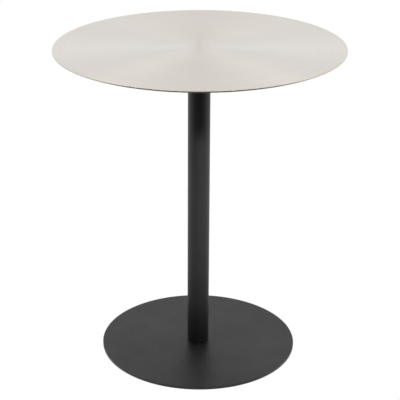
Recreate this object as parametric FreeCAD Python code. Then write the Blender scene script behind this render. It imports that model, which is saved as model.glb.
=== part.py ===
import FreeCAD, Part
import math
import os

# A bistro table: a thin round steel top, a round column and a flat disc base, held together by
# fasteners that are all reached from below. Millimetres, +Z up. The origin is on the floor, under
# the middle of the column.

# ---- driving dimensions ----
TABLE_HEIGHT = 740.0
TOP_DIAMETER = 650.0
TOP_THICKNESS = 3.0
COLUMN_DIAMETER = 50.8
COLUMN_WALL = 2.0
BASE_DIAMETER = 460.0
BASE_THICKNESS = 6.0

# ---- glides: a hard sole on a self-adhesive foam backing ----
GLIDE_COUNT = 6
GLIDE_CIRCLE = 412.0
GLIDE_DIAMETER = 24.0
GLIDE_SOLE = 2.0
GLIDE_BACKING = 1.0
GLIDE_BACKING_DIAMETER = 22.0
GLIDE_EDGE = 0.7

# ---- the plate under the top, and the studs that hold the top to it ----
SUPPORT_DIAMETER = 260.0
SUPPORT_THICKNESS = 4.0
VENT_HOLE = 20.0
STUD_COUNT = 6
STUD_CIRCLE = 222.0
STUD_DIAMETER = 6.0
STUD_LENGTH = 16.0
STUD_COLLAR_DIAMETER = 7.5
STUD_COLLAR = 1.0
STUD_TIP_CHAMFER = 0.8
STUD_CLEARANCE_HOLE = 9.0

# ---- M6 washer and nylon-insert lock nut ----
WASHER_DIAMETER = 18.0
WASHER_HOLE = 6.4
WASHER_THICKNESS = 1.6
NUT_ACROSS_FLATS = 10.0
NUT_HEX_HEIGHT = 4.4
NUT_HEIGHT = 6.0
NUT_COLLAR_DIAMETER = 9.0
NUT_LIP = 0.3
INSERT_DIAMETER = 8.0
INSERT_HEIGHT = 1.4

# ---- foot plug welded into the column, and the M8 countersunk screws that hold the base to it ----
PLUG_THICKNESS = 12.0
PLUG_WELD = 2.0
DRAIN_HOLE = 8.0
SCREW_COUNT = 4
SCREW_CIRCLE = 28.0
SCREW_DIAMETER = 8.0
SCREW_LENGTH = 16.0
SCREW_HEAD_DIAMETER = 16.0
SCREW_HEAD_RIM = 0.4
SCREW_RECESS = 0.2
SCREW_TIP_CHAMFER = 1.0
SCREW_CLEARANCE_HOLE = 9.0
SOCKET_ACROSS_FLATS = 5.0
SOCKET_DEPTH = 3.0
DRILL_POINT = 0.8

# ---- finish ----
TOP_EDGE = 0.5
PLATE_EDGE = 0.6
COLUMN_WELD_LEG = 4.0

# ---- levels, from the floor up ----
BASE_LOW = GLIDE_SOLE + GLIDE_BACKING
BASE_HIGH = BASE_LOW + BASE_THICKNESS
TOP_LOW = TABLE_HEIGHT - TOP_THICKNESS
SUPPORT_LOW = TOP_LOW - SUPPORT_THICKNESS
WASHER_LOW = SUPPORT_LOW - WASHER_THICKNESS
NUT_LOW = WASHER_LOW - NUT_HEIGHT

COLUMN_RADIUS = COLUMN_DIAMETER / 2
BORE_RADIUS = COLUMN_RADIUS - COLUMN_WALL
UP = FreeCAD.Vector(0, 0, 1)
AXIS = FreeCAD.Vector(0, 0, 0)


# ---- shared shapes ----
def point(radius, height):
    return FreeCAD.Vector(radius, 0, height)


def turned(edges):
    """The solid that a closed outline of edges in the XZ plane sweeps in one turn about Z."""
    return Part.Face(Part.Wire(edges)).revolve(AXIS, UP, 360)


def turned_outline(*corners):
    """A turned solid whose outline is straight lines between (radius, height) corners."""
    loop = [point(*corner) for corner in corners]
    return Part.Face(Part.makePolygon(loop + loop[:1])).revolve(AXIS, UP, 360)


def quarter_round(radius, height, size, side):
    """An arc from the rim at a radius to a flat face at a height; side is 1 for an upper face, -1 for a lower."""
    bend = size * (1 - math.sqrt(0.5))
    start = point(radius, height - side * size)
    middle = point(radius - bend, height - side * bend)
    return Part.Arc(start, middle, point(radius - size, height)).toShape()


def rounded_disc(diameter, low, thickness, edge):
    """A flat round plate with both rims rounded."""
    radius, high = diameter / 2, low + thickness
    return turned(
        [
            Part.makeLine(point(0, low), point(radius - edge, low)),
            quarter_round(radius, low, edge, -1),
            Part.makeLine(point(radius, low + edge), point(radius, high - edge)),
            quarter_round(radius, high, edge, 1),
            Part.makeLine(point(radius - edge, high), point(0, high)),
            Part.makeLine(point(0, high), point(0, low)),
        ]
    )


def cylinder(diameter, low, height, centre=AXIS):
    return Part.makeCylinder(diameter / 2, height, centre + UP * low)


def ring(outer, inner, low, height):
    return cylinder(outer, low, height).cut(cylinder(inner, low, height))


def hexagon(across_flats, low, height):
    """A hexagonal bar standing on Z."""
    reach = across_flats / math.sqrt(3)
    corners = [
        FreeCAD.Vector(reach * math.cos(math.radians(a)), reach * math.sin(math.radians(a)), low)
        for a in range(0, 360, 60)
    ]
    return Part.Face(Part.makePolygon(corners + corners[:1])).extrude(UP * height)


def places(count, circle_diameter, first_angle=0.0):
    """Evenly spaced points on a circle about Z."""
    angles = [math.radians(first_angle + 360 * i / count) for i in range(count)]
    return [FreeCAD.Vector(math.cos(a), math.sin(a), 0) * (circle_diameter / 2) for a in angles]


def copies(shape, points):
    """Separate copies of a shape, one at each point."""
    return [shape.translated(p) for p in points]


STUD_PLACES = places(STUD_COUNT, STUD_CIRCLE, 30)
SCREW_PLACES = places(SCREW_COUNT, SCREW_CIRCLE, 45)
GLIDE_PLACES = places(GLIDE_COUNT, GLIDE_CIRCLE)


# ---- top ----
def table_top():
    return rounded_disc(TOP_DIAMETER, TOP_LOW, TOP_THICKNESS, TOP_EDGE)


def weld_stud():
    """A threaded stud with its weld collar against the underside of the top."""
    shank, collar = STUD_DIAMETER / 2, STUD_COLLAR_DIAMETER / 2
    tip = TOP_LOW - STUD_LENGTH
    return turned_outline(
        (0, TOP_LOW),
        (collar, TOP_LOW),
        (collar, TOP_LOW - STUD_COLLAR),
        (shank, TOP_LOW - STUD_COLLAR),
        (shank, tip + STUD_TIP_CHAMFER),
        (shank - STUD_TIP_CHAMFER, tip),
        (0, tip),
    )


def support_plate():
    plate = rounded_disc(SUPPORT_DIAMETER, SUPPORT_LOW, SUPPORT_THICKNESS, PLATE_EDGE)
    stud_hole = cylinder(STUD_CLEARANCE_HOLE, SUPPORT_LOW, SUPPORT_THICKNESS)
    vent = cylinder(VENT_HOLE, SUPPORT_LOW, SUPPORT_THICKNESS)
    return plate.cut([vent, *copies(stud_hole, STUD_PLACES)])


def stud_washer():
    return ring(WASHER_DIAMETER, WASHER_HOLE, WASHER_LOW, WASHER_THICKNESS)


def lock_nut():
    """The steel of a lock nut: a chamfered hexagon, and below it the collar that holds the nylon ring."""
    hex_low = WASHER_LOW - NUT_HEX_HEIGHT
    corner = NUT_ACROSS_FLATS / math.sqrt(3)
    flat = NUT_ACROSS_FLATS / 2 * 0.96
    drop = (corner - flat) * math.tan(math.radians(30))
    envelope = turned_outline(
        (0, hex_low),
        (flat, hex_low),
        (corner, hex_low + drop),
        (corner, WASHER_LOW - drop),
        (flat, WASHER_LOW),
        (0, WASHER_LOW),
    )
    body = hexagon(NUT_ACROSS_FLATS, hex_low, NUT_HEX_HEIGHT).common(envelope)
    collar = cylinder(NUT_COLLAR_DIAMETER, NUT_LOW, NUT_HEIGHT - NUT_HEX_HEIGHT)
    thread = cylinder(STUD_DIAMETER, NUT_LOW, NUT_HEIGHT)
    seat = cylinder(INSERT_DIAMETER, NUT_LOW + NUT_LIP, INSERT_HEIGHT)
    mouth = cylinder(INSERT_DIAMETER - 2 * NUT_LIP, NUT_LOW, NUT_LIP)
    return body.fuse(collar).cut([thread, seat, mouth]).removeSplitter()


def nut_insert():
    return ring(INSERT_DIAMETER, STUD_DIAMETER, NUT_LOW + NUT_LIP, INSERT_HEIGHT)


# ---- column ----
def column_tube():
    return ring(COLUMN_DIAMETER, 2 * BORE_RADIUS, BASE_HIGH, SUPPORT_LOW - BASE_HIGH)


def column_top_weld():
    """The fillet weld in the corner between the column and the support plate."""
    return turned_outline(
        (COLUMN_RADIUS, SUPPORT_LOW),
        (COLUMN_RADIUS + COLUMN_WELD_LEG, SUPPORT_LOW),
        (COLUMN_RADIUS, SUPPORT_LOW - COLUMN_WELD_LEG),
    )


def foot_plug():
    """The thick disc in the column's foot, chamfered for its weld and tapped for the base screws."""
    high = BASE_HIGH + PLUG_THICKNESS
    plug = turned_outline(
        (0, BASE_HIGH),
        (BORE_RADIUS - PLUG_WELD, BASE_HIGH),
        (BORE_RADIUS, BASE_HIGH + PLUG_WELD),
        (BORE_RADIUS, high),
        (0, high),
    )
    tapped = cylinder(SCREW_DIAMETER, BASE_HIGH, PLUG_THICKNESS)
    drain = cylinder(DRAIN_HOLE, BASE_HIGH, PLUG_THICKNESS)
    return plug.cut([drain, *copies(tapped, SCREW_PLACES)])


def foot_plug_weld():
    """The weld that fills the groove between the plug and the column's bore, ground flush at the foot."""
    return turned_outline(
        (BORE_RADIUS - PLUG_WELD, BASE_HIGH),
        (BORE_RADIUS, BASE_HIGH),
        (BORE_RADIUS, BASE_HIGH + PLUG_WELD),
    )


# ---- base ----
def head_cone_radius(height):
    """The radius of the screw head's 90 degree cone at a height, shared by the head and its countersink."""
    rim_high = BASE_LOW + SCREW_RECESS + SCREW_HEAD_RIM
    return SCREW_HEAD_DIAMETER / 2 + rim_high - height


def countersunk_hole():
    """The space that a screw needs through the base, as a solid to cut."""
    hole = SCREW_CLEARANCE_HOLE / 2
    cone_high = BASE_LOW + head_cone_radius(BASE_LOW) - hole
    return turned_outline(
        (0, BASE_LOW),
        (head_cone_radius(BASE_LOW), BASE_LOW),
        (hole, cone_high),
        (hole, BASE_HIGH),
        (0, BASE_HIGH),
    )


def base_disc():
    plate = rounded_disc(BASE_DIAMETER, BASE_LOW, BASE_THICKNESS, PLATE_EDGE)
    return plate.cut(copies(countersunk_hole(), SCREW_PLACES))


def base_screw():
    """A countersunk socket screw, its head just under flush with the base's underside."""
    shank, head = SCREW_DIAMETER / 2, SCREW_HEAD_DIAMETER / 2
    low = BASE_LOW + SCREW_RECESS
    cone_low = low + SCREW_HEAD_RIM
    tip = low + SCREW_LENGTH
    screw = turned_outline(
        (0, low),
        (head, low),
        (head, cone_low),
        (shank, cone_low + head - shank),
        (shank, tip - SCREW_TIP_CHAMFER),
        (shank - SCREW_TIP_CHAMFER, tip),
        (0, tip),
    )
    socket = hexagon(SOCKET_ACROSS_FLATS, low, SOCKET_DEPTH)
    drilled = Part.makeCone(
        SOCKET_ACROSS_FLATS / 2, 0, DRILL_POINT, point(0, low + SOCKET_DEPTH)
    )
    return screw.cut([socket, drilled])


def glide_sole():
    """A hard slick disc with its floor edge rounded."""
    radius = GLIDE_DIAMETER / 2
    return turned(
        [
            Part.makeLine(point(0, 0), point(radius - GLIDE_EDGE, 0)),
            quarter_round(radius, 0, GLIDE_EDGE, -1),
            Part.makeLine(point(radius, GLIDE_EDGE), point(radius, GLIDE_SOLE)),
            Part.makeLine(point(radius, GLIDE_SOLE), point(0, GLIDE_SOLE)),
            Part.makeLine(point(0, GLIDE_SOLE), point(0, 0)),
        ]
    )


def glide_backing():
    return cylinder(GLIDE_BACKING_DIAMETER, GLIDE_SOLE, GLIDE_BACKING)


# ---- assembly ----
def group(shape, points):
    """Identical pieces as one node of separate solids."""
    return Part.makeCompound(copies(shape, points))


def all_nodes():
    nodes = {
        "table_top": table_top(),
        "top_weld_studs": group(weld_stud(), STUD_PLACES),
        "support_plate": support_plate(),
        "stud_washers": group(stud_washer(), STUD_PLACES),
        "stud_lock_nuts": group(lock_nut(), STUD_PLACES),
        "lock_nut_inserts": group(nut_insert(), STUD_PLACES),
        "column_tube": column_tube(),
        "column_top_weld": column_top_weld(),
        "foot_plug": foot_plug(),
        "foot_plug_weld": foot_plug_weld(),
        "base_disc": base_disc(),
        "base_screws": group(base_screw(), SCREW_PLACES),
    }
    for number, place in enumerate(GLIDE_PLACES, start=1):
        nodes[f"glide_sole_{number}"] = glide_sole().translated(place)
        nodes[f"glide_backing_{number}"] = glide_backing().translated(place)
    return nodes


os.makedirs("parts", exist_ok=True)
for name, shape in all_nodes().items():
    if not shape.isValid():
        raise ValueError(f"{name} is not a valid shape")
    shape.exportStep(f"parts/{name}.step")
    volume = sum(solid.Volume for solid in shape.Solids)
    print(f"{name}: {len(shape.Solids)} solid(s), {volume / 1000:.2f} cm3")
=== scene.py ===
import math

import bmesh
import bpy
from mathutils import Matrix, Vector


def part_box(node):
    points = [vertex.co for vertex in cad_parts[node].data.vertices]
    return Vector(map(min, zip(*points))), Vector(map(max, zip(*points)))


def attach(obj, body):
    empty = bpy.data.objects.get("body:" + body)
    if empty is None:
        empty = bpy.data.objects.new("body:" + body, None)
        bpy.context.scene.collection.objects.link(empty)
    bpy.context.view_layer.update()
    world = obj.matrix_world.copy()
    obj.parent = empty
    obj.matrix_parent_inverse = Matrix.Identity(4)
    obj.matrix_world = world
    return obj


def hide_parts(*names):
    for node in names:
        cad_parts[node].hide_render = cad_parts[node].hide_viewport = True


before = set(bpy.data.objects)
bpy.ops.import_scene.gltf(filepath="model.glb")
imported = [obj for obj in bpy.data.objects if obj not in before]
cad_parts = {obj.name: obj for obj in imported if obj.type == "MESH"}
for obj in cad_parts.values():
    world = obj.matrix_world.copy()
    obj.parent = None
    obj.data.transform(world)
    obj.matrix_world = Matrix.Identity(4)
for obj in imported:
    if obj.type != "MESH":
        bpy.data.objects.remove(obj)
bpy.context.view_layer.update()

# The looks of a bistro table: a circular-brushed steel top on a black powder-coated column and base.
# Everything is in metres, in the CAD's own frame: +Z up, origin on the floor under the column.

MM = 0.001
TURN = 2 * math.pi


# ---- sizes, read from the frame ----
def low(node):
    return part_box(node)[0].z


def high(node):
    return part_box(node)[1].z


def radius(node):
    """Outer radius of a node that is centred on the column's axis."""
    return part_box(node)[1].x


TOP_RADIUS = radius("table_top")
TOP_LOW, TOP_HIGH = low("table_top"), high("table_top")
PLATE_RADIUS = radius("support_plate")
PLATE_LOW, PLATE_HIGH = low("support_plate"), high("support_plate")
TUBE_RADIUS = radius("column_tube")
BORE_RADIUS = radius("foot_plug")
TUBE_LOW, TUBE_HIGH = low("column_tube"), high("column_tube")
BASE_RADIUS = radius("base_disc")
BASE_LOW, BASE_HIGH = low("base_disc"), high("base_disc")
PLUG_HIGH = high("foot_plug")
SOLE_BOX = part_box("glide_sole_1")
BACKING_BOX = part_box("glide_backing_1")
GLIDE_CIRCLE_RADIUS = (SOLE_BOX[0].x + SOLE_BOX[1].x) / 2
WELD_LEG = high("column_top_weld") - low("column_top_weld")
PLUG_WELD_LEG = high("foot_plug_weld") - low("foot_plug_weld")

# ---- sizes of the standard parts, the same as in the CAD ----
STUD_COUNT = 6
STUD_CIRCLE_RADIUS = 111 * MM
STUD_FIRST_ANGLE = math.radians(30)
STUD_RADIUS = 3 * MM
STUD_PITCH = 1 * MM
STUD_COLLAR_RADIUS = 3.75 * MM
STUD_COLLAR = 1 * MM
STUD_HOLE_RADIUS = 4.5 * MM
VENT_RADIUS = 10 * MM
WASHER_RADIUS = 9 * MM
WASHER_HOLE_RADIUS = 3.2 * MM
NUT_FLAT_RADIUS = 5 * MM
NUT_HEX_HEIGHT = 4.4 * MM
NUT_COLLAR_RADIUS = 4.5 * MM
NUT_LIP = 0.3 * MM
INSERT_RADIUS = 4 * MM
SCREW_COUNT = 4
SCREW_CIRCLE_RADIUS = 14 * MM
SCREW_FIRST_ANGLE = math.radians(45)
SCREW_RADIUS = 4 * MM
SCREW_PITCH = 1.25 * MM
SCREW_HEAD_RADIUS = 8 * MM
SCREW_HEAD_RIM = 0.4 * MM
SCREW_HOLE_RADIUS = 4.5 * MM
SOCKET_FLAT_RADIUS = 2.5 * MM
SOCKET_DEPTH = 3 * MM
DRAIN_RADIUS = 4 * MM
GLIDE_COUNT = 6

# a thread's depth as a share of its pitch, how steeply its flanks rise, its rows of faces per
# turn, and its crest's clearance from the nominal radius
THREAD_DEPTH = 0.54
THREAD_SLOPE = 1.6
THREAD_ROWS = 8
THREAD_CLEARANCE = 0.05 * MM

# sides of a round shape, for each size of part
DISC_SEGMENTS = 360
PLATE_SEGMENTS = 192
TUBE_SEGMENTS = 128
PLUG_SEGMENTS = 96
NUT_SEGMENTS = 72
GLIDE_SEGMENTS = 64
HOLE_SEGMENTS = 48
SCREW_SEGMENTS = 36
STUD_SEGMENTS = 32

# a smaller radius is a point on the axis
ON_AXIS = 1e-7


# ---- mesh tools ----
def add_piece(name, mesh, material, slot, *nodes):
    """Puts a finished mesh in the scene as a piece that stands for CAD nodes."""
    piece = bpy.data.objects.new(name, mesh)
    bpy.context.scene.collection.objects.link(piece)
    mesh.materials.clear()
    mesh.materials.append(material)
    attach(piece, "root")
    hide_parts(*nodes)
    return piece


def finish_mesh(name, bm, sharp_degrees=35):
    """Turns a bmesh into a smooth-shaded mesh that stays crisp at its hard edges."""
    bmesh.ops.remove_doubles(bm, verts=bm.verts, dist=0.2e-6)
    bmesh.ops.recalc_face_normals(bm, faces=bm.faces)
    mesh = bpy.data.meshes.new(name)
    bm.to_mesh(mesh)
    bm.free()
    mesh.shade_smooth()
    mesh.set_sharp_from_angle(angle=math.radians(sharp_degrees))
    return mesh


def weigh_normals(piece):
    """Keeps flat faces flat beside small rounded edges."""
    modifier = piece.modifiers.new("weighted_normals", "WEIGHTED_NORMAL")
    modifier.keep_sharp = True
    modifier.weight = 100


def rounded_outline(corners, steps=5):
    """Points of a closed outline. Each corner is (radius, height) or (radius, height, fillet)."""
    points = []
    count = len(corners)
    for i, corner in enumerate(corners):
        here = Vector(corner[:2])
        if len(corner) == 2:
            points.append(here)
            continue
        back = (Vector(corners[i - 1][:2]) - here).normalized()
        ahead = (Vector(corners[(i + 1) % count][:2]) - here).normalized()
        half = back.angle(ahead) / 2
        reach = corner[2] / math.tan(half)
        middle = here + (back + ahead).normalized() * (corner[2] / math.sin(half))
        start = here + back * reach - middle
        sweep = (here + ahead * reach - middle).angle_signed(start)
        for step in range(steps + 1):
            points.append(middle + Matrix.Rotation(sweep * step / steps, 2) @ start)
    return points


def round_point(centre, r, angle, z):
    """A point at a radius and an angle about a centre in the XY plane."""
    return centre[0] + r * math.cos(angle), centre[1] + r * math.sin(angle), z


def sweep_round(bm, outline, segments, centre=(0, 0), swell=None):
    """Turns an outline of (radius, height) points about Z.

    swell(angle, index) gives what is added to a point's radius and height.
    """
    rings = []
    for index, (r, z) in enumerate(outline):
        ring = []
        for i in range(segments):
            angle = TURN * i / segments
            dr, dz = swell(angle, index) if swell else (0, 0)
            if r < ON_AXIS and ring:
                ring.append(ring[0])
                continue
            ring.append(bm.verts.new(round_point(centre, r + dr, angle, z + dz)))
        rings.append(ring)
    for ring, following in zip(rings, rings[1:] + rings[:1]):
        for i in range(segments):
            j = (i + 1) % segments
            loop = list(dict.fromkeys([ring[i], ring[j], following[j], following[i]]))
            if len(loop) > 2:
                bm.faces.new(loop)


def sweep_changing(bm, centre, outline_at, segments, closed):
    """Sweeps an outline that changes on its way round.

    outline_at(angle) gives its (radius, height) points.
    """
    columns = []
    for i in range(segments):
        angle = TURN * i / segments
        columns.append([bm.verts.new(round_point(centre, r, angle, z)) for r, z in outline_at(angle)])
    for column, following in zip(columns, columns[1:] + columns[:1]):
        count = len(column)
        for k in range(count if closed else count - 1):
            n = (k + 1) % count
            bm.faces.new([column[k], column[n], following[n], following[k]])


def places(count, circle_radius, first_angle=0.0):
    """Evenly spaced points on a circle about the column."""
    angles = [first_angle + TURN * i / count for i in range(count)]
    return [(circle_radius * math.cos(a), circle_radius * math.sin(a)) for a in angles]


STUD_PLACES = places(STUD_COUNT, STUD_CIRCLE_RADIUS, STUD_FIRST_ANGLE)
SCREW_PLACES = places(SCREW_COUNT, SCREW_CIRCLE_RADIUS, SCREW_FIRST_ANGLE)
GLIDE_PLACES = places(GLIDE_COUNT, GLIDE_CIRCLE_RADIUS)


def turned_mesh(name, outline, segments, centres=((0, 0),)):
    """The same turned shape at each centre, as one mesh."""
    bm = bmesh.new()
    for centre in centres:
        sweep_round(bm, outline, segments, centre)
    return finish_mesh(name, bm)


def cut_away(piece, cutter_mesh):
    """Cuts a mesh out of a piece for good, with crisp edges round the cut."""
    cutter = bpy.data.objects.new("cutter", cutter_mesh)
    bpy.context.scene.collection.objects.link(cutter)
    modifier = piece.modifiers.new("cut", "BOOLEAN")
    modifier.operation = "DIFFERENCE"
    modifier.solver = "EXACT"
    modifier.object = cutter
    graph = bpy.context.evaluated_depsgraph_get()
    mesh = bpy.data.meshes.new_from_object(piece.evaluated_get(graph))
    bm = bmesh.new()
    bm.from_mesh(mesh)
    bmesh.ops.dissolve_degenerate(bm, edges=bm.edges, dist=0.002 * MM)
    bm.to_mesh(mesh)
    bm.free()
    mesh.shade_smooth()
    mesh.set_sharp_from_angle(angle=math.radians(30))
    piece.modifiers.remove(modifier)
    piece.data = mesh
    bpy.data.objects.remove(cutter)


# ---- shader tools ----
class Shader:
    """A small wrapper that keeps a node tree readable."""

    def __init__(self, name, owners=bpy.data.materials, surface="Principled BSDF"):
        self.material = owners.new(name)
        self.material.use_nodes = True
        self.tree = self.material.node_tree
        self.surface = self.tree.nodes[surface]

    def set(self, **values):
        """Sets plain values on the surface's own sockets."""
        for name, value in values.items():
            self.surface.inputs[name.replace("_", " ")].default_value = value

    def to_surface(self, **sources):
        """Links node outputs to the surface's sockets."""
        for name, source in sources.items():
            self.tree.links.new(source, self.surface.inputs[name.replace("_", " ")])

    def node(self, kind, sources=None, values=None, **settings):
        """A node with its settings, the sources of its inputs, and plain values for other inputs."""
        made = self.tree.nodes.new(kind)
        for key, value in settings.items():
            setattr(made, key, value)
        for key, source in (sources or {}).items():
            self.tree.links.new(source, made.inputs[key])
        for key, value in (values or {}).items():
            made.inputs[key].default_value = value
        return made

    def math(self, operation, a, b=None, clamp=False):
        made = self.node("ShaderNodeMath", operation=operation, use_clamp=clamp)
        for i, value in enumerate((a, b)):
            if value is None:
                continue
            if isinstance(value, (int, float)):
                made.inputs[i].default_value = value
            else:
                self.tree.links.new(value, made.inputs[i])
        return made.outputs[0]

    def add(self, a, b):
        return self.math("ADD", a, b)

    def multiply(self, a, b):
        return self.math("MULTIPLY", a, b)

    def spread(self, value, low_out, high_out, low_in=0.0, high_in=1.0, curve="LINEAR"):
        """Maps a value from one range to another, and holds it at the ends."""
        limits = {"From Min": low_in, "From Max": high_in, "To Min": low_out, "To Max": high_out}
        return self.node("ShaderNodeMapRange", {"Value": value}, limits, interpolation_type=curve).outputs[0]

    def noise(self, vector, scale, detail, roughness):
        values = {"Scale": scale, "Detail": detail, "Roughness": roughness}
        return self.node("ShaderNodeTexNoise", {"Vector": vector}, values).outputs["Fac"]

    def blend(self, factor, colour_a, colour_b):
        made = self.node("ShaderNodeMix", {0: factor}, data_type="RGBA")
        for socket, colour in ((made.inputs[6], colour_a), (made.inputs[7], colour_b)):
            if isinstance(colour, tuple):
                socket.default_value = (*colour, 1)
            else:
                self.tree.links.new(colour, socket)
        return made.outputs[2]

    def bump(self, height, strength, distance, normal=None):
        sources = {"Height": height}
        if normal is not None:
            sources["Normal"] = normal
        return self.node("ShaderNodeBump", sources, {"Strength": strength, "Distance": distance}).outputs[0]

    def position(self):
        return self.node("ShaderNodeTexCoord").outputs["Object"]

    def axes(self, vector):
        """The X, Y and Z of a vector."""
        return self.node("ShaderNodeSeparateXYZ", {"Vector": vector}).outputs

    def stretched(self, scale, turn=0.0):
        """The position, turned about Z and scaled by a different amount along each axis."""
        values = {"Rotation": (0, 0, turn), "Scale": scale}
        return self.node("ShaderNodeMapping", {"Vector": self.position()}, values).outputs[0]

    def axis_distance(self):
        """Distance from the column's axis."""
        flat = self.node("ShaderNodeVectorMath", {0: self.position()}, {1: (1, 1, 0)}, operation="MULTIPLY")
        return self.node("ShaderNodeVectorMath", {0: flat.outputs[0]}, operation="LENGTH").outputs["Value"]

    def rings(self, around, across):
        """A vector for noise that runs in rings about Z: around each ring, and across from ring to ring."""
        x, y, _ = self.axes(self.position())
        distance = self.axis_distance()
        safe = self.math("MAXIMUM", distance, 1e-5)
        parts = (
            self.multiply(self.math("DIVIDE", x, safe), around),
            self.multiply(self.math("DIVIDE", y, safe), around),
            self.multiply(distance, across),
        )
        return self.node("ShaderNodeCombineXYZ", dict(enumerate(parts))).outputs[0]

    def white_when_seen(self, level):
        """Plain white to the camera, and this level to everything that it lights or that mirrors it."""
        seen = self.node("ShaderNodeLightPath").outputs["Is Camera Ray"]
        return self.add(seen, self.multiply(self.math("SUBTRACT", 1.0, seen), level))


# ---- materials ----
# Noise stays mostly between these two values, so most ranges start and end there.
NOISE_LOW, NOISE_HIGH = 0.3, 0.7


def brushed_top():
    """Steel sheet brushed in circles: ring-shaped grain, and highlights that fan out from the middle."""
    s = Shader("brushed_top")
    s.set(Metallic=1.0, Anisotropic=0.78, Anisotropic_Rotation=0.25)
    grain = s.noise(s.rings(2.2, 900.0), scale=1.0, detail=5.0, roughness=0.6)
    bands = s.noise(s.rings(1.1, 90.0), scale=1.0, detail=3.0, roughness=0.5)
    haze = s.noise(s.position(), scale=7.0, detail=2.0, roughness=0.5)
    tone = s.add(s.multiply(grain, 0.45), s.multiply(bands, 0.35))
    tone = s.add(tone, s.multiply(haze, 0.2))
    light = s.spread(tone, 0, 1, NOISE_LOW, NOISE_HIGH)
    colour = s.blend(light, (0.635, 0.594, 0.548), (0.701, 0.658, 0.613))
    middle = s.spread(s.axis_distance(), 0.55, 0, 5 * MM, 34 * MM)
    s.to_surface(
        Base_Color=s.blend(middle, colour, (0.575, 0.53, 0.48)),
        Roughness=s.spread(tone, 0.27, 0.33, NOISE_LOW, NOISE_HIGH),
        Tangent=s.node("ShaderNodeTangent", direction_type="RADIAL", axis="Z").outputs[0],
        Normal=s.bump(grain, 0.25, 0.02 * MM),
    )
    return s.material


def mill_sheet_and_painted_shade():
    """The sheet's unbrushed underside: dull, with faint straight rolling lines, and a colour kept darker
    than steel as painted shade for the shade under the top.
    """
    s = Shader("top_underside_mill_and_painted_shade")
    s.set(Metallic=1.0)
    lines = s.noise(s.stretched((4.0, 500.0, 4.0)), scale=1.0, detail=3.0, roughness=0.6)
    stain = s.noise(s.position(), scale=6.0, detail=3.0, roughness=0.6)
    # painted shade: the underside's colours are far darker than steel, so it throws less light onto the
    # column and base
    s.to_surface(
        Base_Color=s.blend(s.spread(stain, 0, 1, 0.35, 0.65), (0.30, 0.29, 0.28), (0.37, 0.36, 0.34)),
        Roughness=s.spread(lines, 0.42, 0.55, NOISE_LOW, NOISE_HIGH),
        Normal=s.bump(lines, 0.12, 0.02 * MM),
    )
    return s.material


def cut_edge():
    """The sheet's rim: a fine vertical grain, a little darker and warmer than the brushed face."""
    s = Shader("top_cut_edge")
    s.set(Metallic=1.0)
    grain = s.noise(s.rings(420.0, 6.0), scale=1.0, detail=3.0, roughness=0.6)
    s.to_surface(
        Base_Color=s.blend(
            s.spread(grain, 0, 1, NOISE_LOW, NOISE_HIGH), (0.54, 0.48, 0.39), (0.70, 0.64, 0.53)
        ),
        Roughness=s.spread(grain, 0.32, 0.45),
        Normal=s.bump(grain, 0.2, 0.03 * MM),
    )
    return s.material


def powder_coat():
    """Black powder coat: a fine sandy texture over slow waves, with a trace of dust on what faces up."""
    s = Shader("black_powder_coat")
    where = s.position()
    sand = s.noise(where, scale=1500.0, detail=2.0, roughness=0.6)
    peel = s.noise(where, scale=260.0, detail=2.0, roughness=0.5)
    cloud = s.noise(where, scale=9.0, detail=4.0, roughness=0.6)
    wipe = s.noise(s.stretched((5.0, 22.0, 5.0), math.radians(35)), scale=1.0, detail=4.0, roughness=0.6)
    colour = s.blend(s.spread(cloud, 0, 1, 0.35, 0.65), (0.0030, 0.0030, 0.0032), (0.0050, 0.0050, 0.0050))
    up = s.axes(s.node("ShaderNodeNewGeometry").outputs["Normal"])[2]
    smudge = s.add(s.spread(cloud, 0, 0.22, 0.42, 0.7), s.spread(wipe, 0, 0.16, 0.45, 0.7))
    dust = s.multiply(s.spread(up, 0, 1, 0.8, 1.0), smudge)
    dust = s.math("MULTIPLY", dust, s.spread(sand, 0, 1, 0.4, 0.7), clamp=True)
    s.set(IOR=1.5, Specular_IOR_Level=0.385)
    s.to_surface(
        Base_Color=s.blend(dust, colour, (0.016, 0.0156, 0.015)),
        Roughness=s.add(
            s.spread(peel, 0.40, 0.48, NOISE_LOW, NOISE_HIGH),
            s.spread(cloud, 0.04, -0.04, NOISE_LOW, NOISE_HIGH),
        ),
        Normal=s.bump(sand, 0.22, 0.06 * MM, s.bump(peel, 0.2, 0.12 * MM)),
    )
    return s.material


def zinc_steel():
    """Bright zinc plating with faint yellow and blue tints."""
    s = Shader("fastener_zinc")
    tint = s.noise(s.position(), scale=160.0, detail=3.0, roughness=0.5)
    fine = s.noise(s.position(), scale=2600.0, detail=3.0, roughness=0.6)
    s.set(Metallic=1.0)
    s.to_surface(
        Base_Color=s.blend(s.spread(tint, 0, 1, 0.35, 0.65), (0.52, 0.54, 0.58), (0.66, 0.64, 0.58)),
        Roughness=s.spread(fine, 0.22, 0.42, NOISE_LOW, NOISE_HIGH),
        Normal=s.bump(fine, 0.25, 0.03 * MM),
    )
    return s.material


def black_oxide():
    """Blackened screw steel, with a rubbed sheen."""
    s = Shader("black_oxide_screw")
    fine = s.noise(s.position(), scale=1800.0, detail=3.0, roughness=0.6)
    rub = s.noise(s.position(), scale=240.0, detail=2.0, roughness=0.5)
    s.set(Metallic=0.6)
    s.to_surface(
        Base_Color=s.blend(s.spread(rub, 0, 1, 0.4, 0.7), (0.022, 0.022, 0.025), (0.06, 0.058, 0.06)),
        Roughness=s.spread(fine, 0.32, 0.5, NOISE_LOW, NOISE_HIGH),
        Normal=s.bump(fine, 0.3, 0.03 * MM),
    )
    return s.material


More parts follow.
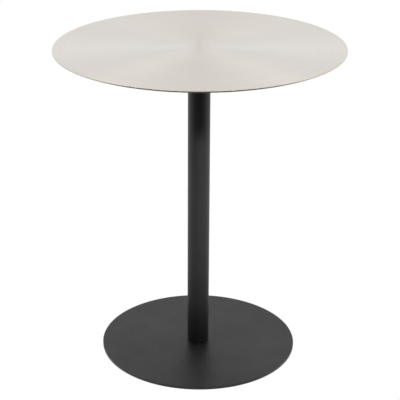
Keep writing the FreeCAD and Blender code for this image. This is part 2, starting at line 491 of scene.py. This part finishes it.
def turned_steel():
    """Bare lathe-turned steel with its tool marks."""
    s = Shader("turned_plug_steel")
    marks = s.noise(s.rings(0.8, 3200.0), scale=1.0, detail=2.0, roughness=0.5)
    stain = s.noise(s.position(), scale=120.0, detail=4.0, roughness=0.6)
    s.set(Metallic=1.0)
    s.to_surface(
        Base_Color=s.blend(s.spread(stain, 0, 1, 0.4, 0.7), (0.40, 0.39, 0.38), (0.26, 0.24, 0.22)),
        Roughness=s.spread(stain, 0.3, 0.5, NOISE_LOW, NOISE_HIGH),
        Normal=s.bump(marks, 0.3, 0.04 * MM),
    )
    return s.material


def nylon():
    """The milky ring in a lock nut."""
    s = Shader("nut_nylon")
    cloud = s.noise(s.position(), scale=700.0, detail=3.0, roughness=0.5)
    s.set(Subsurface_Weight=0.2, Subsurface_Scale=MM)
    s.to_surface(
        Base_Color=s.blend(s.spread(cloud, 0, 1, 0.35, 0.65), (0.62, 0.64, 0.58), (0.74, 0.75, 0.70)),
        Roughness=s.spread(cloud, 0.36, 0.5),
        Normal=s.bump(cloud, 0.15, 0.04 * MM),
    )
    return s.material


def glide_plastic():
    """Hard black moulded plastic with a fine spark-eroded grain and floor scuffs."""
    s = Shader("glide_plastic")
    grain = s.noise(s.position(), scale=2200.0, detail=2.0, roughness=0.5)
    scuff = s.noise(s.position(), scale=300.0, detail=4.0, roughness=0.7)
    s.to_surface(
        Base_Color=s.blend(s.spread(scuff, 0, 1, 0.5, 0.75), (0.016, 0.016, 0.017), (0.05, 0.05, 0.048)),
        Roughness=s.spread(scuff, 0.34, 0.55, NOISE_LOW, NOISE_HIGH),
        Normal=s.bump(grain, 0.25, 0.05 * MM),
    )
    return s.material


def glide_foam():
    """Dense closed-cell foam."""
    s = Shader("glide_foam")
    cells = s.node("ShaderNodeTexVoronoi", {"Vector": s.position()}, {"Scale": 3500.0}).outputs["Distance"]
    s.to_surface(
        Base_Color=s.blend(s.spread(cells, 0, 1, 0.0, 0.7), (0.07, 0.07, 0.072), (0.028, 0.028, 0.03)),
        Roughness=s.spread(cells, 0.8, 0.95),
        Normal=s.bump(cells, 0.5, 0.1 * MM),
    )
    return s.material


BRUSHED = brushed_top()
EDGE = cut_edge()
MILL_AND_PAINTED_SHADE = mill_sheet_and_painted_shade()
COAT = powder_coat()
ZINC = zinc_steel()
OXIDE = black_oxide()
PLUG_STEEL = turned_steel()
NYLON = nylon()
PLASTIC = glide_plastic()
FOAM = glide_foam()


# ---- top ----
def make_top():
    """The brushed disc. Rings across its face follow the brushing, and both rims are softly broken."""
    edge = 0.5 * MM
    rings = [TOP_RADIUS * t for t in (0.012, 0.04, 0.12, 0.3, 0.5, 0.7, 0.85, 0.95, 0.99)]
    under = [(r, TOP_LOW) for r in rings]
    face = [(r, TOP_HIGH) for r in reversed(rings)]
    rim = [(TOP_RADIUS, TOP_LOW, edge), (TOP_RADIUS, TOP_HIGH, edge)]
    outline = rounded_outline([(0, TOP_LOW), *under, *rim, *face, (0, TOP_HIGH)])
    mesh = turned_mesh("brushed_table_top", outline, DISC_SEGMENTS)
    piece = add_piece("brushed_table_top", mesh, BRUSHED, "brushed_top", "table_top")
    mesh.materials.append(EDGE)
    mesh.materials.append(MILL_AND_PAINTED_SHADE)
    upright = 0.35
    # Faces that stand upright take the cut edge; faces turned down take the underside, whose dark colour is
    # painted shade.
    for face in mesh.polygons:
        if abs(face.normal.z) < upright:
            face.material_index = 1
        elif face.normal.z < 0:
            face.material_index = 2
    weigh_normals(piece)


def make_support_plate():
    """The plate under the top, with its vent and its stud holes."""
    edge = 0.6 * MM
    corners = [
        (VENT_RADIUS, PLATE_LOW, edge / 2),
        (PLATE_RADIUS, PLATE_LOW, edge),
        (PLATE_RADIUS, PLATE_HIGH, edge),
        (VENT_RADIUS, PLATE_HIGH, edge / 2),
    ]
    mesh = turned_mesh("support_plate_disc", rounded_outline(corners), PLATE_SEGMENTS)
    piece = add_piece("support_plate_disc", mesh, COAT, "black_powder_coat", "support_plate")
    hole = rounded_outline(
        [
            (0, PLATE_LOW - MM),
            (STUD_HOLE_RADIUS + MM, PLATE_LOW - MM),
            (STUD_HOLE_RADIUS, PLATE_LOW + 0.3 * MM),
            (STUD_HOLE_RADIUS, PLATE_HIGH + MM),
            (0, PLATE_HIGH + MM),
        ]
    )
    cut_away(piece, turned_mesh("stud_hole_cutter", hole, HOLE_SEGMENTS, STUD_PLACES))
    weigh_normals(piece)


def thread_radius(shank_radius, pitch, phase, fade):
    """Radius of a thread at a phase of its turn; fade brings its depth in from 0 to 1."""
    groove = min(1.0, THREAD_SLOPE * abs(2 * phase - 1))
    return shank_radius - THREAD_CLEARANCE - THREAD_DEPTH * pitch * (1 - groove) * fade


def add_stud(bm, centre, collar, top, tip, chamfer):
    """A stud under its weld collar: the collar's outline, then a thread from top down to a chamfered tip."""
    row_height = STUD_PITCH / THREAD_ROWS
    rings = [[point] * STUD_SEGMENTS for point in collar]
    for row in range(int(round((top - tip) / row_height)) + 1):
        z = top - row * row_height
        end_cut = max(0.0, chamfer - (z - tip))
        fade = min(1.0, row / THREAD_ROWS)
        ring = []
        for i in range(STUD_SEGMENTS):
            phase = (row / THREAD_ROWS + i / STUD_SEGMENTS) % 1.0
            r = thread_radius(STUD_RADIUS, STUD_PITCH, phase, fade)
            ring.append((min(r, STUD_RADIUS - end_cut), max(z, tip)))
        rings.append(ring)
    previous = None
    for ring in rings:
        verts = []
        for i, (r, z) in enumerate(ring):
            if r < ON_AXIS and verts:
                verts.append(verts[0])
                continue
            verts.append(bm.verts.new(round_point(centre, r, TURN * i / STUD_SEGMENTS, z)))
        if previous:
            for i in range(STUD_SEGMENTS):
                j = (i + 1) % STUD_SEGMENTS
                loop = list(dict.fromkeys([previous[i], verts[i], verts[j], previous[j]]))
                if len(loop) > 2:
                    bm.faces.new(loop)
        previous = verts
    bm.faces.new(previous)


def make_studs():
    """Weld studs with rolled threads and a squeezed-out weld collar."""
    tip = low("top_weld_studs")
    neck = TOP_LOW - STUD_COLLAR
    collar = [
        (0, TOP_LOW),
        (STUD_COLLAR_RADIUS, TOP_LOW),
        (STUD_COLLAR_RADIUS, TOP_LOW - 0.4 * MM),
        (STUD_COLLAR_RADIUS - 0.25 * MM, TOP_LOW - 0.8 * MM),
        (STUD_RADIUS - THREAD_CLEARANCE, neck),
    ]
    bm = bmesh.new()
    for centre in STUD_PLACES:
        add_stud(bm, centre, collar, neck, tip, 0.8 * MM)
    mesh = finish_mesh("threaded_weld_studs", bm, 50)
    add_piece("threaded_weld_studs", mesh, ZINC, "fastener_steel", "top_weld_studs")


def make_washers():
    """Punched washers: rounded on their lower side and nearly sharp on the other."""
    bottom, top = low("stud_washers"), high("stud_washers")
    corners = [
        (WASHER_HOLE_RADIUS, bottom, 0.25 * MM),
        (WASHER_RADIUS, bottom, 0.4 * MM),
        (WASHER_RADIUS, top, 0.1 * MM),
        (WASHER_HOLE_RADIUS, top, 0.1 * MM),
    ]
    mesh = turned_mesh("punched_washers", rounded_outline(corners, 4), HOLE_SEGMENTS, STUD_PLACES)
    weigh_normals(add_piece("punched_washers", mesh, ZINC, "fastener_steel", "stud_washers"))


def hex_radius(angle, flat_radius):
    """Distance from the middle of a hexagon to its side at an angle; a corner lies at angle 0."""
    sixth = TURN / 6
    return flat_radius / math.cos((angle % sixth) - sixth / 2)


def make_lock_nuts():
    """Lock nuts: a hexagon chamfered by a cone at each end, and a rolled collar round the nylon ring."""
    bottom, top = low("stud_lock_nuts"), high("stud_lock_nuts")
    hex_low = top - NUT_HEX_HEIGHT
    land = NUT_FLAT_RADIUS * 0.955
    slope = math.tan(math.radians(30))
    lip = INSERT_RADIUS - NUT_LIP

    def outline_at(angle):
        side = hex_radius(angle, NUT_FLAT_RADIUS)
        drop = (side - land) * slope
        return [
            (STUD_RADIUS, top - 0.4 * MM),
            (STUD_RADIUS + 0.4 * MM, top),
            (land, top),
            (side, top - drop),
            (side, hex_low + drop),
            (land, hex_low),
            (NUT_COLLAR_RADIUS + 0.1 * MM, hex_low),
            (NUT_COLLAR_RADIUS, hex_low - 0.1 * MM),
            (NUT_COLLAR_RADIUS, bottom + 0.55 * MM),
            (NUT_COLLAR_RADIUS - 0.12 * MM, bottom + 0.25 * MM),
            (NUT_COLLAR_RADIUS - 0.4 * MM, bottom + 0.04 * MM),
            (lip + 0.1 * MM, bottom),
            (lip, bottom + 0.08 * MM),
            (lip, bottom + NUT_LIP),
            (INSERT_RADIUS, bottom + NUT_LIP),
            (INSERT_RADIUS, hex_low - 0.02 * MM),
            (STUD_RADIUS, hex_low - 0.02 * MM),
        ]

    bm = bmesh.new()
    for centre in STUD_PLACES:
        sweep_changing(bm, centre, outline_at, NUT_SEGMENTS, closed=True)
    mesh = finish_mesh("hex_lock_nuts", bm, 28)
    add_piece("hex_lock_nuts", mesh, ZINC, "fastener_steel", "stud_lock_nuts")


def make_nut_inserts():
    """Nylon rings, dished a little where they show in the nut's mouth."""
    bottom, top = low("lock_nut_inserts"), high("lock_nut_inserts")
    lip = INSERT_RADIUS - NUT_LIP
    corners = [
        (STUD_RADIUS, top),
        (STUD_RADIUS, bottom + 0.15 * MM, 0.1 * MM),
        (lip, bottom - 0.05 * MM, 0.1 * MM),
        (lip, bottom),
        (INSERT_RADIUS, bottom),
        (INSERT_RADIUS, top),
    ]
    mesh = turned_mesh("nylon_nut_rings", rounded_outline(corners, 3), HOLE_SEGMENTS, STUD_PLACES)
    add_piece("nylon_nut_rings", mesh, NYLON, "nut_nylon", "lock_nut_inserts")


# ---- column ----
def make_column():
    """The drawn tube, its cut ends just broken."""
    edge = 0.3 * MM
    corners = [
        (BORE_RADIUS, TUBE_LOW, edge),
        (TUBE_RADIUS, TUBE_LOW, edge),
        (TUBE_RADIUS, TUBE_HIGH, edge),
        (BORE_RADIUS, TUBE_HIGH, edge),
    ]
    mesh = turned_mesh("column_tube_coated", rounded_outline(corners, 3), TUBE_SEGMENTS)
    weigh_normals(add_piece("column_tube_coated", mesh, COAT, "black_powder_coat", "column_tube"))


def make_column_weld():
    """A fillet weld laid in overlapping ripples under the support plate."""
    ripples = 76
    segments = ripples * 8
    steps = 10
    outline = [(TUBE_RADIUS, PLATE_LOW)]
    for step in range(steps + 1):
        t = step / steps
        bulge = 0.55 * MM * math.sin(math.pi * t)
        r = TUBE_RADIUS + WELD_LEG * (1 - t) + bulge * 0.7
        z = PLATE_LOW - WELD_LEG * t - bulge * 0.7
        outline.append((r, z))

    def swell(angle, index):
        if index in (0, 1, steps + 1):
            return 0, 0
        t = (index - 1) / steps
        phase = (ripples * angle / TURN + 0.55 * math.sin(math.pi * t)) % 1.0
        ripple = 0.22 * MM * (1 - phase) ** 1.5 * math.sin(math.pi * t)
        wander = 0.12 * MM * math.sin(5 * angle + 1.3) * math.sin(math.pi * t)
        return ripple + wander, -ripple - wander

    bm = bmesh.new()
    sweep_round(bm, outline, segments, swell=swell)
    mesh = finish_mesh("column_weld_bead", bm, 60)
    add_piece("column_weld_bead", mesh, COAT, "coated_weld", "column_top_weld")


def make_foot_plug():
    """The turned plug in the column's foot, with its drain and its four tapped holes."""
    corners = [
        (DRAIN_RADIUS, TUBE_LOW, 0.4 * MM),
        (BORE_RADIUS - PLUG_WELD_LEG, TUBE_LOW),
        (BORE_RADIUS, TUBE_LOW + PLUG_WELD_LEG),
        (BORE_RADIUS, PLUG_HIGH, 0.4 * MM),
        (DRAIN_RADIUS, PLUG_HIGH, 0.4 * MM),
    ]
    mesh = turned_mesh("turned_foot_plug", rounded_outline(corners, 4), PLUG_SEGMENTS)
    piece = add_piece("turned_foot_plug", mesh, PLUG_STEEL, "plug_steel", "foot_plug")
    below, above = TUBE_LOW - MM, PLUG_HIGH + MM
    hole = [(0, below), (SCREW_RADIUS, below), (SCREW_RADIUS, above), (0, above)]
    cut_away(piece, turned_mesh("tapped_hole_cutter", hole, HOLE_SEGMENTS, SCREW_PLACES))
    weigh_normals(piece)


def make_plug_weld():
    """The weld that fills the groove round the plug, ground flush at the foot."""
    inner = BORE_RADIUS - PLUG_WELD_LEG
    outline = [(inner, TUBE_LOW), (BORE_RADIUS, TUBE_LOW), (BORE_RADIUS, TUBE_LOW + PLUG_WELD_LEG)]
    mesh = turned_mesh("plug_groove_weld", outline, PLUG_SEGMENTS)
    add_piece("plug_groove_weld", mesh, PLUG_STEEL, "plug_steel", "foot_plug_weld")


# ---- base ----
def make_base():
    """The base disc, with its softened rims and four countersunk holes underneath."""
    edge = 0.6 * MM
    rings = [BASE_RADIUS * t for t in (0.1, 0.2, 0.4, 0.6, 0.8, 0.95, 0.985)]
    under = [(r, BASE_LOW) for r in rings]
    face = [(r, BASE_HIGH) for r in reversed(rings)]
    rim = [(BASE_RADIUS, BASE_LOW, edge), (BASE_RADIUS, BASE_HIGH, edge)]
    outline = rounded_outline([(0, BASE_LOW), *under, *rim, *face, (0, BASE_HIGH)])
    mesh = turned_mesh("base_disc_coated", outline, DISC_SEGMENTS)
    piece = add_piece("base_disc_coated", mesh, COAT, "black_powder_coat", "base_disc")
    rim_high = low("base_screws") + SCREW_HEAD_RIM
    mouth = SCREW_HEAD_RADIUS + rim_high - BASE_LOW
    hole = [
        (0, BASE_LOW - MM),
        (mouth + MM, BASE_LOW - MM),
        (SCREW_HOLE_RADIUS, BASE_LOW + mouth - SCREW_HOLE_RADIUS),
        (SCREW_HOLE_RADIUS, BASE_HIGH + MM),
        (0, BASE_HIGH + MM),
    ]
    cut_away(piece, turned_mesh("countersink_cutter", hole, HOLE_SEGMENTS, SCREW_PLACES))
    weigh_normals(piece)


def make_base_screws():
    """Countersunk screws, seen from below: a bevelled rim, a chamfered hexagon socket, rolled threads."""
    head, tip = low("base_screws"), high("base_screws")
    rim_high = head + SCREW_HEAD_RIM
    neck = rim_high + SCREW_HEAD_RADIUS - SCREW_RADIUS
    row_height = SCREW_PITCH / THREAD_ROWS
    rows = int((tip - neck) / row_height)
    mouth = 2 / math.sqrt(3) * SOCKET_FLAT_RADIUS + 0.15 * MM

    def outline_at(angle):
        socket = hex_radius(angle, SOCKET_FLAT_RADIUS)
        outline = [
            (0, head + SOCKET_DEPTH + 0.8 * MM),
            (SOCKET_FLAT_RADIUS * 0.98, head + SOCKET_DEPTH),
            (socket, head + SOCKET_DEPTH),
            (socket, head + (mouth - socket) * 0.6 + 0.05 * MM),
            (mouth, head),
            (SCREW_HEAD_RADIUS - 0.2 * MM, head),
            (SCREW_HEAD_RADIUS, head + 0.15 * MM),
            (SCREW_HEAD_RADIUS, rim_high),
            (SCREW_RADIUS - THREAD_CLEARANCE, neck),
        ]
        for row in range(1, rows + 1):
            z = neck + row * row_height
            phase = (row / THREAD_ROWS - angle / TURN) % 1.0
            r = thread_radius(SCREW_RADIUS, SCREW_PITCH, phase, min(1.0, row / THREAD_ROWS))
            outline.append((min(r, SCREW_RADIUS - max(0.0, MM - (tip - z))), z))
        return [*outline, (SCREW_RADIUS - MM, tip), (0, tip)]

    bm = bmesh.new()
    for centre in SCREW_PLACES:
        sweep_changing(bm, centre, outline_at, SCREW_SEGMENTS, closed=False)
    mesh = finish_mesh("socket_screws", bm)
    weigh_normals(add_piece("socket_screws", mesh, OXIDE, "black_oxide_screw", "base_screws"))


def make_glides():
    """Six glides: a hard sole with a softened edge, on foam that bulges a little under the load."""
    half = (SOLE_BOX[1].x - SOLE_BOX[0].x) / 2
    foam_half = (BACKING_BOX[1].x - BACKING_BOX[0].x) / 2
    foam_low, foam_high = BACKING_BOX[0].z, BACKING_BOX[1].z
    sole_low, sole_high = SOLE_BOX[0].z, SOLE_BOX[1].z
    sole = rounded_outline(
        [
            (0, sole_low),
            (half - 3 * MM, sole_low),
            (half, sole_low, 0.7 * MM),
            (half, sole_high, 0.2 * MM),
            (0, sole_high),
        ]
    )
    middle = (foam_low + foam_high) / 2
    foam = [
        (0, foam_low),
        (foam_half - 0.12 * MM, foam_low),
        (foam_half - 0.02 * MM, foam_low + 0.2 * MM),
        (foam_half, middle),
        (foam_half - 0.02 * MM, foam_high - 0.2 * MM),
        (foam_half - 0.12 * MM, foam_high),
        (0, foam_high),
    ]
    for number, centre in enumerate(GLIDE_PLACES, start=1):
        name = f"glide_pad_{number}"
        mesh = turned_mesh(name, sole, GLIDE_SEGMENTS, [centre])
        weigh_normals(add_piece(name, mesh, PLASTIC, "glide_plastic", f"glide_sole_{number}"))
        name = f"glide_foam_{number}"
        mesh = turned_mesh(name, foam, GLIDE_SEGMENTS, [centre])
        add_piece(name, mesh, FOAM, "glide_foam", f"glide_backing_{number}")


# ---- studio ----
# The floor's light falls from full to none between these two depths in front of the table. It is
# dimmer under the table, and brighter just round the base's rim.
FLOOR_RADIUS = 40.0
FLOOR_BRIGHT_Y, FLOOR_DARK_Y = -0.3, -1.8
SHADOW_LEVEL, SHADOW_RADIUS = 0.5, 0.7
RIM_LEVEL, RIM_START, RIM_END = 2.8, 0.01, 0.05
# the height of a direction (its sine above the horizon), and the room's brightness there
ROOM_RAMP = ((0.0, 1.18), (0.22, 1.14), (0.35, 0.8), (0.5, 0.94), (0.68, 0.96), (0.9, 0.9))
# The room dims as a direction's Y falls between these values, towards the side behind the camera.
DIM_START_Y, DIM_END_Y = 0.3, -0.6
# That side is dark near the horizon. From the first height to the second it brightens, and above
# it loses only this share of its light.
DIM_LOW, DIM_HIGH, DIM_SHARE = 0.18, 0.4, 0.6
# The walls to the left and right are brighter, as a direction's reach along X grows.
FLANK_START, FLANK_END, FLANK_LEVEL = 0.3, 0.6, 1.15

LAMP_TARGET = (0, 0, 0.5)
# name, place, size and power of each softbox
SOFTBOXES = (
    ("softbox_left", (-2.1, 0.6, 7.0), (1.2, 3.5), 90),
    ("softbox_right", (2.1, 0.6, 7.0), (1.2, 3.5), 90),
    ("back_box_left", (-2.8, 3.1, 5.8), (1.5, 1.5), 36),
    ("back_box_right", (2.8, 3.1, 5.8), (1.5, 1.5), 36),
)
COLUMN_SPOT_PLACE = (0.9, -2.45, 2.23)
COLUMN_SPOT_TARGET = (0, 0, 0.47)
COLUMN_SPOT_CONE = math.radians(9.3)
COLUMN_SPOT_RADIUS = 0.3
COLUMN_SPOT_POWER = 3300

CAMERA_LENS = 114.07
CAMERA_DISTANCE = 2.7135
CAMERA_HEIGHT = 1.5062
CAMERA_PITCH = 0.39573
CAMERA_YAW = -0.03303
CAMERA_ROLL = -0.00758
CAMERA_SHIFT = 0.1


def make_floor():
    """A wide white light table. What it sends up to the table fades towards the front."""
    bm = bmesh.new()
    bmesh.ops.create_circle(bm, cap_ends=True, radius=FLOOR_RADIUS, segments=64)
    mesh = bpy.data.meshes.new("studio_floor")
    bm.to_mesh(mesh)
    bm.free()
    floor = bpy.data.objects.new("studio_floor", mesh)
    bpy.context.scene.collection.objects.link(floor)
    s = Shader("studio_floor")
    s.set(Base_Color=(0, 0, 0, 1), Specular_IOR_Level=0.0, Emission_Color=(1, 1, 1, 1))
    distance = s.axis_distance()
    fade = s.spread(s.axes(s.position())[1], 0.0, 1.0, FLOOR_DARK_Y, FLOOR_BRIGHT_Y, "SMOOTHSTEP")
    shadow = s.spread(distance, SHADOW_LEVEL, 1.0, BASE_RADIUS, SHADOW_RADIUS)
    rim = s.spread(distance, RIM_LEVEL, 1.0, BASE_RADIUS + RIM_START, BASE_RADIUS + RIM_END)
    level = s.multiply(fade, s.multiply(shadow, rim))
    s.to_surface(Emission_Strength=s.white_when_seen(level))
    mesh.materials.append(s.material)


def make_world():
    """A white room whose brightness changes with height, and drops on the side behind the camera."""
    w = Shader("studio_world", bpy.data.worlds, "Background")
    bpy.context.scene.world = w.material
    x, y, z = w.axes(w.node("ShaderNodeTexCoord").outputs["Generated"])
    ramp = w.node("ShaderNodeValToRGB", {"Fac": z})
    stops = ramp.color_ramp.elements
    while len(stops) < len(ROOM_RAMP):
        stops.new(0.5)
    for stop, (place, level) in zip(stops, ROOM_RAMP):
        stop.position = place
        stop.color = (level, level, level, 1)
    w.set(Color=(1, 1, 1, 1))
    towards_front = w.spread(y, 1.0, 0.0, DIM_END_Y, DIM_START_Y)
    dimming = w.multiply(towards_front, w.spread(z, 1.0, DIM_SHARE, DIM_LOW, DIM_HIGH))
    flank = w.spread(w.math("ABSOLUTE", x), 1.0, FLANK_LEVEL, FLANK_START, FLANK_END)
    level = w.multiply(ramp.outputs[0], w.multiply(w.math("SUBTRACT", 1.0, dimming), flank))
    w.to_surface(Strength=w.white_when_seen(level))


def hang_lamp(name, data, place, target):
    """Hangs a lamp that points at its target and that the camera can't see."""
    lamp = bpy.data.objects.new(name, data)
    bpy.context.scene.collection.objects.link(lamp)
    lamp.location = place
    lamp.rotation_mode = "QUATERNION"
    lamp.rotation_quaternion = (Vector(target) - Vector(place)).to_track_quat("-Z", "Y")
    lamp.visible_camera = False
    return lamp


def make_softboxes():
    """One pair high above the table and one pair behind it, for the fan of highlights on the top."""
    for name, place, size, power in SOFTBOXES:
        data = bpy.data.lights.new(name, "AREA")
        data.shape = "RECTANGLE"
        data.size, data.size_y = size
        data.energy = power
        hang_lamp(name, data, place, LAMP_TARGET)


def make_column_spot():
    """A soft spot that lights the column and nothing else."""
    data = bpy.data.lights.new("column_spot", "SPOT")
    data.spot_size = COLUMN_SPOT_CONE
    data.spot_blend = 1.0
    data.shadow_soft_size = COLUMN_SPOT_RADIUS
    data.energy = COLUMN_SPOT_POWER
    lamp = hang_lamp("column_spot", data, COLUMN_SPOT_PLACE, COLUMN_SPOT_TARGET)
    lit = bpy.data.collections.new("column_spot_lights")
    lit.objects.link(bpy.data.objects["column_tube_coated"])
    lamp.light_linking.receiver_collection = lit


def make_camera():
    """The camera, placed by its distance, height, pitch, yaw and roll."""
    data = bpy.data.cameras.new("camera")
    data.lens = CAMERA_LENS
    data.shift_x = CAMERA_SHIFT
    camera = bpy.data.objects.new("camera", data)
    bpy.context.scene.collection.objects.link(camera)
    camera.location = (0, -CAMERA_DISTANCE, CAMERA_HEIGHT)
    ahead = Vector((
        math.sin(CAMERA_YAW) * math.cos(CAMERA_PITCH),
        math.cos(CAMERA_YAW) * math.cos(CAMERA_PITCH),
        -math.sin(CAMERA_PITCH),
    ))
    right = Vector((math.cos(CAMERA_YAW), -math.sin(CAMERA_YAW), 0))
    level = Matrix((right, right.cross(ahead), -ahead)).transposed()
    roll = Matrix.Rotation(CAMERA_ROLL, 3, "Z")
    camera.rotation_mode = "QUATERNION"
    camera.rotation_quaternion = level.to_quaternion() @ roll.to_quaternion()
    bpy.context.scene.camera = camera


make_camera()
make_world()
make_floor()
make_softboxes()
make_top()
make_support_plate()
make_studs()
make_washers()
make_lock_nuts()
make_nut_inserts()
make_column()
make_column_weld()
make_foot_plug()
make_plug_weld()
make_base()
make_base_screws()
make_glides()
make_column_spot()

bpy.context.scene.view_settings.view_transform = "Standard"
bpy.context.scene.view_settings.look = "None"
